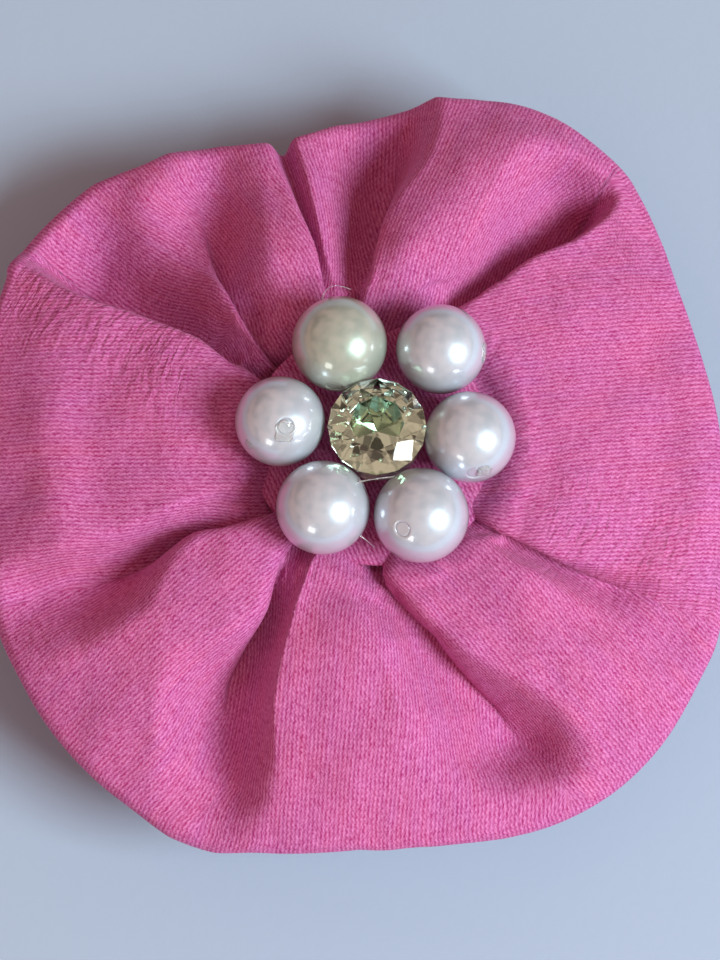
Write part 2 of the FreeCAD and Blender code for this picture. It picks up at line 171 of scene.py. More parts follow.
class Solid:
    """Gathers several closed shells into one mesh."""

    def __init__(self):
        self.verts, self.faces, self.count = [], [], 0

    def rings(self, rings, closed=False):
        """A shell through rings of points: capped at both ends, or closed end to end."""
        rings = np.asarray(rings, float)
        rows, columns = rings.shape[:2]
        verts = rings.reshape(-1, 3)
        faces = grid_faces(rows, columns, closed)
        if not closed:
            low, high = rows * columns, rows * columns + 1
            verts = np.vstack([verts, rings[0].mean(0), rings[-1].mean(0)])
            for i in range(columns):
                after, last = (i + 1) % columns, (rows - 1) * columns
                faces.append((after, i, low))
                faces.append((last + i, last + after, high))
        self.verts.append(verts)
        self.faces += [tuple(i + self.count for i in f) for f in faces]
        self.count += len(verts)

    def tube(self, path, radius, sides):
        """A round wire along a path, its ends closed."""
        radius = np.broadcast_to(radius, len(path))
        run = np.gradient(path, axis=0)
        run /= norm(run, axis=1)[:, None]
        side, _ = across(run[0])
        turn = np.arange(sides) * 2 * math.pi / sides
        rings = []
        for point, forward, r in zip(path, run, radius):
            side = unit(side - forward * np.dot(side, forward))
            up = np.cross(forward, side)
            rings.append(point + r * (np.outer(np.cos(turn), side) + np.outer(np.sin(turn), up)))
        self.rings(rings)

    def lathe(self, profile, centre, axis, segments, closed=False, wave=None):
        """A profile of (radius, height) turned about an axis; wave(angle) scales its radii."""
        side, up = across(axis)
        axis = unit(axis)
        turn = np.arange(segments) * 2 * math.pi / segments
        grow = np.ones(segments) if wave is None else wave(turn)
        round_ = np.outer(np.cos(turn) * grow, side) + np.outer(np.sin(turn) * grow, up)
        self.rings([np.asarray(centre) + r * round_ + h * axis for r, h in profile], closed)

    def fibres(self, points, normals, count, length, radius):
        """Fine loose fibres standing on a surface, each leaning and curling its own way."""
        for k in rng.choice(len(points), count):
            lean = unit(normals[k] + FIBRE_SPREAD * rng.normal(size=3))
            curl = unit(lean + FIBRE_SPREAD * rng.normal(size=3))
            long = length * rng.uniform(0.4, 1.0)
            t = np.linspace(0, 1, 5)[:, None]
            path = points[k] + long * (t * lean + 0.5 * t * t * (curl - lean))
            self.tube(path, radius * np.linspace(1, 0.4, 5), 3)

    def build(self, name):
        obj = mesh_object(name, np.vstack(self.verts), self.faces)
        bm = bmesh.new()
        bm.from_mesh(obj.data)
        bmesh.ops.recalc_face_normals(bm, faces=bm.faces)
        bm.to_mesh(obj.data)
        bm.free()
        return obj


def finish_piece(obj, material, stands_for):
    """Everything but the spring rides on the flower, in the place of one CAD solid."""
    obj.data.materials.append(material)
    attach(obj, "flower")
    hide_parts(stands_for)


def waves(count, size, seed):
    """A smooth random function of an angle in radians, about 1."""
    local = np.random.default_rng(seed)
    phase, share = local.uniform(0, 2 * math.pi, count), local.uniform(0.4, 1.0, count)

    def at(turn):
        total = sum(s * np.sin((k + 2) * turn + p) for k, (s, p) in enumerate(zip(share, phase)))
        return 1 + size * total / count**0.5
    return at


# ---- materials
class Nodes:
    """Short calls for building a node tree. Lengths are in millimetres."""

    def __init__(self, name, kind="materials"):
        self.holder = getattr(bpy.data, kind).new(name)
        self.holder.use_nodes = True
        self.tree = self.holder.node_tree

    def put(self, socket, value):
        if isinstance(value, bpy.types.NodeSocket):
            self.tree.links.new(value, socket)
        elif isinstance(value, tuple) and len(value) == 3 and socket.type == "RGBA":
            socket.default_value = (*value, 1)
        else:
            socket.default_value = value

    def make(self, kind, inputs, output=0, **settings):
        """A node with its settings, and its inputs by name or number; returns an output."""
        made = self.tree.nodes.new(kind)
        adjust(made, **settings)
        for name, value in inputs.items():
            self.put(made.inputs[name], value)
        return made.outputs[output]

    def node(self, kind, *values, **settings):
        """A node whose first inputs are filled in order."""
        return self.make(kind, dict(enumerate(values)), **settings)

    def math(self, operation, a, b=0.0, c=0.0):
        return self.node("ShaderNodeMath", a, b, c, operation=operation)

    def add(self, a, b):
        return self.math("ADD", a, b)

    def times(self, a, b):
        return self.math("MULTIPLY", a, b)

    def wave(self, turns):
        return self.math("SINE", self.times(turns, 2 * math.pi))

    def plus_times(self, a, b, c):
        """a + b * c"""
        return self.math("MULTIPLY_ADD", b, c, a)

    def ramp(self, value, low, high, **ends):
        """0 below low, 1 above high, unless other ends are given."""
        inputs = {"Value": value, "From Min": low, "From Max": high}
        return self.make("ShaderNodeMapRange", inputs | ends)

    def mix(self, share, a, b):
        return self.make("ShaderNodeMix", {0: share, 6: a, 7: b}, 2, data_type="RGBA")

    def point(self, x, y, z=0.0):
        return self.node("ShaderNodeCombineXYZ", x, y, z)

    def split(self, vector):
        """X and Y of a vector."""
        made = self.tree.nodes.new("ShaderNodeSeparateXYZ")
        self.put(made.inputs[0], vector)
        return made.outputs[0], made.outputs[1]

    def stretched(self, vector, x, y, z):
        return self.node("ShaderNodeVectorMath", vector, (x, y, z), operation="MULTIPLY")

    def noise(self, vector, scale=1.0, detail=2.0, rough=0.5):
        inputs = {"Vector": vector, "Scale": scale, "Detail": detail, "Roughness": rough}
        return self.make("ShaderNodeTexNoise", inputs)

    def place(self):
        """The point's own place in the object, in millimetres."""
        return self.stretched(self.make("ShaderNodeTexCoord", {}, "Object"), 1 / MM, 1 / MM, 1 / MM)

    def bump(self, height, depth, normal=None, strength=1.0):
        inputs = {"Height": height, "Distance": depth * MM, "Strength": strength}
        if normal is not None:
            inputs["Normal"] = normal
        return self.make("ShaderNodeBump", inputs)

    def set(self, **inputs):
        """Fills in the surface shader and returns the material."""
        shader = self.tree.nodes["Principled BSDF"]
        for key, value in inputs.items():
            self.put(shader.inputs[key.replace("_", " ")], value)
        return self.holder


RIB = 0.37                   # pitch of the cloth's ribs
# two hues of the deeper and of the paler threads, linear colour; the deeper ones also serve as
# painted shade in the weave's hollows, the paler ones as painted highlight on its raised threads
DEEP_THREADS_AND_GAP_SHADE = ((0.37, 0.022, 0.12), (0.32, 0.024, 0.16))
PALE_THREADS_AND_HIGHLIGHT = ((0.71, 0.225, 0.45), (0.67, 0.23, 0.52))


def crepe():
    """Stretch crepe: fine broken ribs, crinkled in places. The colour is deeper where the weave dips
    and lighter where it stands high: partly the threads' own hues, partly painted shade and painted
    highlight.
    """
    n = Nodes("crepe")
    u, v = n.split(n.make("ShaderNodeUVMap", {}, uv_map="cloth"))

    def cloud(x, y, fine_x, fine_y, **more):
        return n.noise(n.point(n.times(x, fine_x), n.times(y, fine_y)), **more)

    wobble = cloud(u, v, 0.8, 0.5, detail=3.0)
    u = n.plus_times(u, wobble, 0.28)
    column = n.times(u, 1 / RIB)
    rib = n.wave(column)
    # each rib is a chain of short stitches that lean one way and then the other
    own = n.node("ShaderNodeTexWhiteNoise", (0, 0, 0), n.math("FLOOR", column),
                 noise_dimensions="1D")
    along = n.plus_times(n.times(v, 1 / 0.55), own, 7.0)
    stitch = n.wave(along)
    leaning = n.wave(n.plus_times(column, stitch, 0.11))
    patchy = cloud(column, along, 0.9, 0.8, rough=0.6)
    grain = cloud(u, v, 7.0, 5.0, detail=1.0)
    height = n.plus_times(0.5, leaning, 0.22)
    height = n.plus_times(height, n.times(n.add(rib, 1.0), stitch), 0.05)
    height = n.plus_times(height, n.add(patchy, -0.5), 1.05)
    height = n.plus_times(height, n.add(grain, -0.5), 0.7)
    slow = cloud(u, v, 0.9, 0.14)
    broad = cloud(u, v, 0.16, 0.12, detail=1.0)
    hue = n.ramp(n.plus_times(n.times(slow, 0.6), broad, 0.5), 0.3, 0.8)
    deep = n.mix(hue, *DEEP_THREADS_AND_GAP_SHADE)
    pale_and_highlit = n.mix(hue, *PALE_THREADS_AND_HIGHLIGHT)
    # painted shade and highlight: the weave's low parts take the deeper colour, its raised threads
    # the lighter one
    colour = n.mix(n.ramp(height, 0.1, 1.0), deep, pale_and_highlit)
    mark = n.make("ShaderNodeAttribute", {}, "Fac", attribute_name="crinkle")
    bent = n.plus_times(n.times(v, 1.5), cloud(u, v, 0.6, 0.4), 1.6)
    folds = n.noise(n.point(n.times(u, 0.55), bent), detail=1.0)
    amount = n.plus_times(0.08, mark, 0.5)
    normal = n.bump(n.times(folds, amount), 0.55)
    normal = n.bump(height, 0.04, normal, 0.9)
    return n.set(Base_Color=colour, Roughness=0.85, Normal=normal, Specular_IOR_Level=0.15,
                 Sheen_Weight=0.2, Sheen_Roughness=0.4, Sheen_Tint=(1.0, 0.5, 0.8))


def pearl_material(name, colour, tint):
    """Pearl lacquer: a soft silvery body under a clear coat, a little uneven."""
    n = Nodes(name)
    place = n.place()
    cloudy = n.noise(n.stretched(place, 0.5, 0.5, 0.35), detail=3.0)
    swirl = n.noise(n.stretched(place, 1.6, 1.6, 1.2), detail=2.0)
    body = n.mix(n.ramp(cloudy, 0.35, 0.7), colour, tint)
    normal = n.bump(swirl, 0.010)
    pits = n.bump(n.noise(place, 9.0, 1.0), 0.002, normal)
    return n.set(Base_Color=body, Metallic=0.35, Roughness=n.plus_times(0.28, swirl, 0.08),
                 Normal=pits, Coat_Weight=1.0, Coat_Roughness=0.05, Coat_IOR=1.8,
                 Thin_Film_Thickness=380.0, Thin_Film_IOR=1.34)


def glue_material():
    """Clear hot-melt glue: glassy, slightly milky, uneven."""
    n = Nodes("glue")
    place = n.place()
    normal = n.bump(n.noise(place, 0.9, 2.0), 0.15)
    haze = n.ramp(n.noise(place, 1.7, 3.0), 0.4, 0.8)
    return n.set(Base_Color=(0.93, 0.91, 0.90), Roughness=n.plus_times(0.06, haze, 0.22), IOR=1.48,
                 Transmission_Weight=0.78, Normal=normal, Subsurface_Weight=0.15,
                 Subsurface_Scale=0.001)


def felt_material():
    """Craft felt: matted fibres with no weave."""
    n = Nodes("felt")
    place = n.place()
    mat = n.noise(place, 2.2, 6.0, 0.75)
    strand = n.noise(n.stretched(place, 5.0, 1.2, 2.0), 1.0, 3.0, 0.7)
    both = n.plus_times(n.times(mat, 0.6), strand, 0.4)
    colour = n.mix(n.ramp(both, 0.3, 0.7), (0.40, 0.045, 0.20), (0.80, 0.20, 0.50))
    normal = n.bump(both, 0.35)
    return n.set(Base_Color=colour, Roughness=1.0, Normal=normal, Specular_IOR_Level=0.05,
                 Sheen_Weight=0.8, Sheen_Roughness=0.6, Sheen_Tint=(1.0, 0.6, 0.85))


def steel_material(name, colour, roughness, grain):
    """Plated or drawn steel: fine marks along one direction, handling haze, small nicks."""
    n = Nodes(name)
    place = n.place()
    lines = n.noise(n.stretched(place, *grain), 1.0, 3.0, 0.6)
    haze = n.noise(place, 0.35, 3.0, 0.6)
    nicks = n.ramp(n.noise(place, 3.2, 2.0, 0.5), 0.68, 0.74)
    dull = tuple(0.62 * c for c in colour)
    body = n.mix(n.times(n.ramp(haze, 0.5, 0.8), 0.6), colour, dull)
    rough = n.plus_times(n.plus_times(roughness, lines, 0.14), haze, 0.16)
    normal = n.bump(lines, 0.012)
    normal = n.bump(nicks, 0.02, normal)
    return n.set(Base_Color=body, Metallic=1.0, Roughness=rough, Normal=normal)


def thread_material():
    n = Nodes("thread")
    fuzz = n.noise(n.place(), 6.0, 4.0, 0.7)
    colour = n.mix(fuzz, (0.40, 0.04, 0.18), (0.78, 0.16, 0.44))
    return n.set(Base_Color=colour, Roughness=0.75, Normal=n.bump(fuzz, 0.05),
                 Sheen_Weight=0.4, Sheen_Roughness=0.5)


def stone_material():
    """Faintly green cut glass, its facets lightly scuffed."""
    n = Nodes("stone_glass")
    scuff = n.ramp(n.noise(n.place(), 2.0, 3.0, 0.6), 0.55, 0.8)
    return n.set(Base_Color=(0.63, 0.86, 0.67), Roughness=n.times(scuff, 0.05), IOR=1.56,
                 Transmission_Weight=1.0)


def foil_material():
    n = Nodes("mirror_coat")
    worn = n.ramp(n.noise(n.place(), 1.4, 4.0, 0.65), 0.45, 0.75)
    colour = n.mix(worn, (0.90, 0.86, 0.80), (0.64, 0.61, 0.56))
    return n.set(Base_Color=colour, Metallic=1.0, Roughness=n.plus_times(0.05, worn, 0.2))


def paper_material():
    """The whitish card that the clip lies on, painted a little brighter and bluer towards the lower
    right, the side the window light comes from: painted light.
    """
    n = Nodes("card")
    place = n.place()
    fibre = n.noise(place, 0.8, 5.0, 0.7)
    x, y = n.split(place)
    # painted light: the card grows brighter and bluer towards +X and -Y, where the window light
    # falls
    share = n.ramp(n.math("SUBTRACT", x, y), -45.0, 75.0)
    colour = n.mix(share, (0.36, 0.44, 0.545), (0.385, 0.47, 0.60))
    return n.set(Base_Color=colour, Roughness=0.7, Normal=n.bump(fibre, 0.03),
                 Specular_IOR_Level=0.3)


CREPE = crepe()
PEARL = pearl_material("pearl", (0.58, 0.62, 0.675), (0.545, 0.585, 0.65))
CREAM_PEARL = pearl_material("cream_pearl", (0.48, 0.52, 0.44), (0.41, 0.46, 0.38))
GLUE = glue_material()
FELT = felt_material()
THREAD = thread_material()
STONE = stone_material()
FOIL = foil_material()
PLATED = steel_material("plated_steel", (0.66, 0.64, 0.60), 0.14, (0.25, 7.0, 7.0))
SPRING = steel_material("spring_steel", (0.42, 0.42, 0.42), 0.24, (5.0, 5.0, 5.0))
PAPER = paper_material()


# ---- the flower's fabric
# A pleat: the angle of its edge at each of PLEAT_RADII; the side of the lobe that lies on top (+1
# anticlockwise); where it starts to run out and where it ends; its depth; the width of the slope
# that runs under the edge, and of the rolled edge itself, each near the heart and near the rim;
# how much the slope ends in a corner; how far the edge leans over; how crinkled it is beside it.
Pleat = namedtuple("Pleat", "line side reach depth slope edge corner lean crinkle")
PLEAT_RADII = (12, 18, 25, 33)
PLEATS = (
    Pleat((60.5, 51.5, 48.5, 49.5), -1, (27.6, 32.4), 7.2, (4, 8.5), (1.5, 2.2), 0.2, 2.2, 1),
    Pleat((98, 90.2, 87, 86), -1, (25, 37), 6.6, (4.8, 8.5), (1.3, 4), 0, 1.4, 0),
    Pleat((110.5, 109.4, 108, 107.2), 1, (27, 39), 2.3, (1.3, 1.5), (1.2, 1.4), 0.3, 1.2, 0),
    Pleat((144, 138, 129, 120), 1, (25, 34.5), 5.4, (4.6, 7), (1.8, 9), 0, 1.8, 0),
    Pleat((156, 152.5, 150, 149.5), 1, (30, 38.5), 8.4, (3.4, 12), (1.4, 2.4), 0.2, 2, 1),
    Pleat((213, 209.5, 207.5, 204), 1, (27, 40), 5, (3.6, 3.8), (1.7, 7), 0, 2, 0.3),
    Pleat((231, 235, 237.5, 245), -1, (28, 40), 6, (2.4, 5.4), (1.8, 7), 0.8, 2.8, 0),
    Pleat((272, 286.5, 294, 298), 1, (28, 35), 6.2, (4.5, 9.5), (1.8, 4.5), 0, 1.8, 0.1),
    Pleat((320.5, 325.5, 329, 332), 1, (22, 36), 3.2, (2.5, 4.5), (1.6, 3), 0, 1.4, 1),
)
SEAM = 2                     # the pleat where the strip's two ends are joined

# A soft ridge, or a hollow if its height is negative: its angle at each of PLEAT_RADII, height,
# width near the heart and near the rim, and where it starts and stops.
Fold = namedtuple("Fold", "line height width start stop")
FOLDS = (
    Fold((86, 77, 69, 57), 1.5, (2.2, 5.5), 13, 38),
    Fold((146, 141.5, 136, 132), 1.5, (1.8, 4.5), 13, 36),
    Fold((222, 222, 222, 222), 0.8, (2.5, 6), 13, 34),
    Fold((309, 312, 312.5, 313), 0.7, (2, 4.5), 12, 33),
    Fold((316, 317, 319.5, 327), -1.2, (1.5, 2.8), 21, 37),
    Fold((268, 266, 266, 268), 0.6, (4, 9), 14, 38),
    Fold((184, 186, 190, 192), 0.5, (4, 10), 14, 34),
    Fold((20, 16, 12, 8), -0.5, (3, 7), 15, 34),
    Fold((350, 348, 350, 352), 0.4, (3, 6), 14, 33),
    Fold((128, 130, 131, 132), -1.3, (5, 11), 20, 80),
    Fold((190, 190, 190, 190), 2, (3, 13), 26, 70),
    Fold((352, 352, 352, 350), 1.6, (3, 14), 26, 70),
    Fold((99, 98, 97, 97), -1.3, (3, 4.5), 15, 33),
)
RIM_RADIUS = 1.5             # half thickness of the folded rim
RIM_INSET = 0.62             # where the face ends, in rim radii from the outline
FACE_START = 9.6             # where the face starts, beside the heart
# spans of distance from the heart over which things change
WIDENING = (13.0, 30.0)      # pleats and folds from their narrow to their wide end
SOFTENING = (17.0, 31.0)     # a pleat's edge, from rolled over to eased
CORNERS_END = (25.0, 33.0)
CRINKLES_START = (14.0, 19.0)
NOTCH = (0.8, 1.5)           # notch in the rim at the seam: depth, half width in degrees
NECK_R = 6.0                 # where the gathered strip ends, under the patch
NECK_Z = (13.2, 14.6)        # heights that its end turns up to
BACK_Z = 8.8                 # height of the flower's back, beyond the felt
BACK_FOLD = 1.6              # depth of the gathers in the back
GLUE_LAYER = 0.32            # between the felt and the flower
LEAST_THICK = 1.0            # of the flower, where the face dips to its back
HOOP = 900                   # points round the flower
FRONT_ROWS = 110
RIM_ROWS = 10
BACK_ROWS = 40
FINE = 7200                  # samples of a ring before its points are picked
# Height of the face from the patch (0) to the rim (1).
CROWN_AT = (0.0, 0.03, 0.09, 0.18, 0.30, 0.50, 0.72, 0.90, 1.0)
CROWN = (15.9, 16.2, 17.2, 18.0, 18.2, 17.6, 16.2, 14.6, 13.4)


def curve_through(x, at, values):
    """Smooth curve through points, with the slope at each taken from its neighbours."""
    at, values = np.array(at), np.array(values)
    slope = np.gradient(values, at)
    k = np.clip(np.searchsorted(at, x) - 1, 0, len(at) - 2)
    step = at[k + 1] - at[k]
    u = np.clip((x - at[k]) / step, 0, 1)
    level = (1 + 2 * u) * (1 - u) ** 2 * values[k] + u * u * (3 - 2 * u) * values[k + 1]
    return level + step * (u * (1 - u) ** 2 * slope[k] - u * u * (1 - u) * slope[k + 1])


def read_rim():
    """Distance of the rim from the heart at each degree, read from the CAD solid's outline."""
    far, turn = polar(points_of(nodes["flower_fabric"].data)[:, :2] - HEART)
    bins = 120
    most = np.zeros(bins)
    np.maximum.at(most, (np.degrees(turn) % 360 / 360 * bins).astype(int) % bins, far)
    centres = (np.arange(bins) + 0.5) * 360 / bins
    known = most > 25
    most = np.interp(np.arange(360.0), centres[known], most[known], period=360)
    return smooth_round(most, np.exp(-0.5 * (np.arange(-12, 13) / 4.0) ** 2))


RIM = read_rim()


def rim_distance(angle):
    deep, half = NOTCH
    notch = deep * np.exp(-((wrap(angle - PLEATS[SEAM].line[-1]) / half) ** 2))
    return np.interp(angle % 360, np.arange(360.0), RIM, period=360) - notch


def rim_lift(angle):
    """Gentle rise and fall of the rim."""
    a = np.radians(angle)
    return 0.7 * np.cos(a - math.radians(100)) + 0.5 * np.sin(3 * a + 0.6) + 0.25 * np.sin(7 * a)


def pleat_depth(radius, pleat):
    """Depth of a pleat along its length: it opens from the patch and runs out at its reach."""
    opening = 0.4 + 0.6 * smoothstep(11.0, 15.0 + 1.6 * pleat.depth, radius)
    return pleat.depth * opening * (1 - smoothstep(*pleat.reach, radius))


def beside(line, radius, angle):
    """Degrees from a pleat's or a fold's line, anticlockwise."""
    return wrap(angle - np.interp(radius, PLEAT_RADII, line))


def front_ring(share):
    """One ring of the face at a share of the way from patch to rim, finely sampled: plan
    radius, plan angle, height, the angle before the edges lean, and how crinkled it is."""
    angle = np.arange(FINE) * 360.0 / FINE
    rim = rim_distance(angle) - RIM_INSET * RIM_RADIUS
    radius = FACE_START + (rim - FACE_START) * share
    height = curve_through(share, CROWN_AT, CROWN) + rim_lift(angle) * share**2
    far, soft = smoothstep(*WIDENING, radius), smoothstep(*SOFTENING, radius)
    for fold in FOLDS:
        away = np.radians(beside(fold.line, radius, angle)) * radius
        width = between(fold.width, far)
        along = smoothstep(fold.start - 2, fold.start + 4, radius)
        along = along * (1 - smoothstep(fold.stop - 8, fold.stop, radius))
        height += fold.height * along * np.exp(-((away / width) ** 2))
    turn, crinkle = np.zeros(FINE), np.zeros(FINE)
    rounded = 1 - smoothstep(*CORNERS_END, radius)
    for pleat in PLEATS:
        away = pleat.side * np.radians(beside(pleat.line, radius, angle)) * radius
        deep = pleat_depth(radius, pleat)
        slope, edge = between(pleat.slope, far), between(pleat.edge, soft)
        on_top = away > 0
        u = np.clip(np.where(on_top, away / edge, -away / slope), 0, 1)
        rolled = 1 - np.sqrt(np.clip(1 - (1 - u) ** 2, 0, 1))
        eased = 0.5 + 0.5 * np.cos(math.pi * u)
        rolled = rolled + (eased - rolled) * soft
        sloping = eased + ((1 - u**2.6) - eased) * pleat.corner * rounded
        fall = np.where(on_top, rolled, sloping)
        height -= deep * fall
        fading = np.exp(-((away / 4.0) ** 2)) * (1 - soft)
        shift = np.where(on_top, pleat.lean * deep / pleat.depth * (1 - fall) * fading, 0)
        turn -= pleat.side * np.degrees(shift / radius)
        near = np.exp(-(((away - 3.5) / 4.5) ** 2)) * smoothstep(*CRINKLES_START, radius)
        crinkle = np.maximum(crinkle, pleat.crinkle * near)
    return radius, angle + turn, height, angle, crinkle


def lobe_spans(which):
    """Angles of the pleats at one of PLEAT_RADII, and how far it is from each to the next."""
    marks = np.array([p.line[which] for p in PLEATS])
    return marks, (np.roll(marks, -1) - marks) % 360


def lobe_counts():
    """How many points each lobe takes, from the angle that it spans at the rim."""
    counts = np.round(lobe_spans(-1)[1] / 360 * HOOP).astype(int)
    counts[int(np.argmax(counts))] += HOOP - counts.sum()
    return counts


def walk_ring(share):
    """A ring's points, the distance walked to each, and that at each pleat and at the middle
    of each lobe, which its ribs run along."""
    radius, turned, height, angle, crinkle = front_ring(share)
    ring = np.column_stack([circle(np.radians(turned), radius), height, crinkle])
    closed = np.vstack([ring, ring[:1]])
    steps = norm(np.diff(closed[:, :3], axis=0), axis=1)
    walked = np.r_[0, np.cumsum(steps)]
    at_pleat = [walked[int(np.argmin(np.abs(beside(p.line, radius, angle))))] for p in PLEATS]
    marks, spans = lobe_spans(2)
    at_middle = np.interp((marks + spans / 2) % 360, np.r_[angle, 360], walked)
    return closed, walked, at_pleat, at_middle


def flower_face():
    """Rows of points from the patch to the rim, with the cloth's own coordinate across the
    ribs at the start and at the end of each column, and the crinkle of each point."""
    counts, shares = lobe_counts(), np.linspace(0, 1, FRONT_ROWS) ** 0.9
    _, walked, rim_pleat, rim_middle = walk_ring(1.0)
    length, zero = walked[-1], rim_pleat[SEAM]
    rows, starts, ends = [], [], []
    for share in shares:
        closed, walked, at_pleat, at_middle = walk_ring(share)
        total = walked[-1]
        radius = float(np.hypot(*closed[0, :2]))
        picks, start_u, end_u = [], [], []
        for k, count in enumerate(counts):
            after = (k + 1) % len(counts)
            span = (at_pleat[after] - at_pleat[k]) % total
            steps = span * np.arange(count + 1) / count
            picks.append((at_pleat[k] + steps[:-1]) % total)
            # place across the ribs, measured from the line through the lobe's middle
            to_middle = (at_middle[k] - at_pleat[k] + total / 4) % total - total / 4
            u = (rim_middle[k] - zero) % length + steps - to_middle
            edges = ((rim_pleat[k] - zero) % length, (rim_pleat[after] - zero) % length or length)
            reach = min(8.0, 0.45 * span)
            for at, wanted, which in ((u[0], edges[0], k), (u[-1], edges[1], after)):
                closing = 1 - smoothstep(0.3, 1.5, pleat_depth(radius, PLEATS[which]))
                near = np.clip(1 - np.abs(u - at) / reach, 0, 1) ** 2
                u = u + (wanted - at) * closing * near
            start_u.append(u[:-1])
            end_u.append(u[1:])
        picks = np.concatenate(picks)
        rows.append(np.stack([np.interp(picks, walked, closed[:, c]) for c in range(4)], axis=1))
        starts.append(np.concatenate(start_u))
        ends.append(np.concatenate(end_u))
    return np.array(rows), np.array(starts), np.array(ends)


def lowest_above(radius, far, height):
    """How low the face comes above each point of a ring of the back, and close beside it."""
    above = [np.interp(radius[i], far[:, i], height[:, i]) for i in range(HOOP)]
    reach = 12
    lowest = np.min([np.roll(above, k) for k in range(-reach, reach + 1)], axis=0)
    return smooth_round(lowest, np.hanning(2 * reach + 1))


def flower_back(face):
    """Rows that roll round the rim, run in under the flower and up inside its neck."""
    last, before = face[-1], face[-4]
    radial = norm(last[:, :2], axis=1)
    out = last[:, :2] / radial[:, None]
    angle = np.degrees(polar(last)[1])
    # the roll starts square to the face, so that the two meet with no crease
    run = radial - norm(before[:, :2], axis=1)
    slope = smooth_round(np.arctan2(before[:, 2] - last[:, 2], run), np.hanning(15))
    slope = np.clip(slope, 0.05, 1.0)
    radial = radial - RIM_RADIUS * np.sin(slope)
    centre_z = last[:, 2] - RIM_RADIUS * np.cos(slope)
    far = norm(face[:, :, :2], axis=2)
    rows = []

    def add_row(r, z):
        rows.append(np.column_stack([out * r[:, None], z]))

    for k in range(1, RIM_ROWS + 1):
        a = slope + (math.pi - slope) * k / RIM_ROWS
        add_row(radial + RIM_RADIUS * np.sin(a), centre_z + RIM_RADIUS * np.cos(a))
    under_felt = felt_high[2] + GLUE_LAYER
    for k in range(1, BACK_ROWS + 1):
        share = k / BACK_ROWS
        r = radial + (NECK_R - radial) * share
        rise = 1 - smoothstep(FELT_R - 1.0, FELT_R + 8.0, r)
        start = smoothstep(-0.05, 0.16, share)
        flat = between((BACK_Z, under_felt), rise)
        z = (centre_z - RIM_RADIUS) * (1 - start) + flat * start
        fold = np.abs(np.sin(np.radians(6.5 * angle + 40 + 14 * np.sin(np.radians(2 * angle)))))
        deep = BACK_FOLD * smoothstep(0.03, 0.35, share) * smoothstep(FELT_R - 3, FELT_R + 3, r)
        z = z + deep * (1 - fold) ** 2
        thick = LEAST_THICK + 0.3 * start
        add_row(r, np.minimum(z, lowest_above(r, far, face[:, :, 2]) - thick))
    for z in NECK_Z:
        add_row(r, np.full(HOOP, z))
    return rows


def soft_waves(points):
    """Small slow unevenness of handled cloth, in millimetres of height."""
    x, y = points[:, 0], points[:, 1]
    total = np.zeros(len(points))
    for size, wave in ((0.14, 9.0), (0.08, 5.2), (0.03, 2.9)):
        for _ in range(3):
            turn, phase = rng.uniform(0, math.pi), rng.uniform(0, 2 * math.pi)
            along = x * math.cos(turn) + y * math.sin(turn)
            aside = y * math.cos(turn) - x * math.sin(turn)
            total += size * np.sin(2 * math.pi * along / wave + phase + 0.8 * np.sin(aside / wave))
    return total / 2


SIM_SCALE = 20.0             # the cloth is simulated this much larger than life
SIM_FRAMES = 18
SIM_MOST = 0.55              # most that a point may move, mm
SIM_ROWS, SIM_COLUMNS = 3, 5            # every third row and fifth column is simulated
SIM_HELD_FACE = (11.5, 15.0)            # where the hold of the heart fades out on the face
SIM_HELD_BACK = (13.0, 20.0)            # and the hold of the glue on the back
SIM_LEAST_HELD = 0.06        # the padding's hold on every point
SIM_SETTINGS = {
    "quality": 5, "mass": 0.25, "air_damping": 3.0, "tension_stiffness": 18.0,
    "compression_stiffness": 12.0, "shear_stiffness": 6.0, "bending_stiffness": 0.25,
    "shrink_min": -0.045, "use_pressure": True, "uniform_pressure_force": 1.2,
    "vertex_group_mass": "held", "pin_stiffness": 1.0,
}


def settle(rows):
    """Cloth simulation of the shaped strip: slightly too long for its shape and a little
    inflated, held at the heart and at the glue, it buckles into small natural folds."""
    count = len(rows)
    keep = list(range(0, count - 1, SIM_ROWS)) + [count - 1]
    coarse = rows[keep][:, ::SIM_COLUMNS]
    start = coarse.reshape(-1, 3)
    obj = mesh_object("settling", start * SIM_SCALE, grid_faces(*coarse.shape[:2], True))
    radius, _ = polar(start)
    on_face = np.repeat(np.array(keep) < FRONT_ROWS, coarse.shape[1])
    free = np.where(on_face, smoothstep(*SIM_HELD_FACE, radius), smoothstep(*SIM_HELD_BACK, radius))
    held = np.round(np.clip(1 - free + SIM_LEAST_HELD, 0, 1), 2)
    group = obj.vertex_groups.new(name="held")
    for level in np.unique(held):
        group.add([int(i) for i in np.nonzero(held == level)[0]], float(level), "ADD")
    cloth = obj.modifiers.new("cloth", "CLOTH")
    adjust(cloth.settings, **SIM_SETTINGS)
    cloth.settings.effector_weights.gravity = 0.15
    cloth.point_cache.frame_start, cloth.point_cache.frame_end = 1, SIM_FRAMES
    for step in range(1, SIM_FRAMES + 1):
        scene.frame_set(step)
    settled = obj.evaluated_get(bpy.context.evaluated_depsgraph_get())
    move = points_of(settled.data) / SIM_SCALE - start
    size = norm(move, axis=1)[:, None] + 1e-9
    move *= SIM_MOST * np.tanh(size / SIM_MOST) / size
    bpy.data.objects.remove(obj)
    scene.frame_set(1)
    return spread_move(move.reshape(coarse.shape), keep, count)


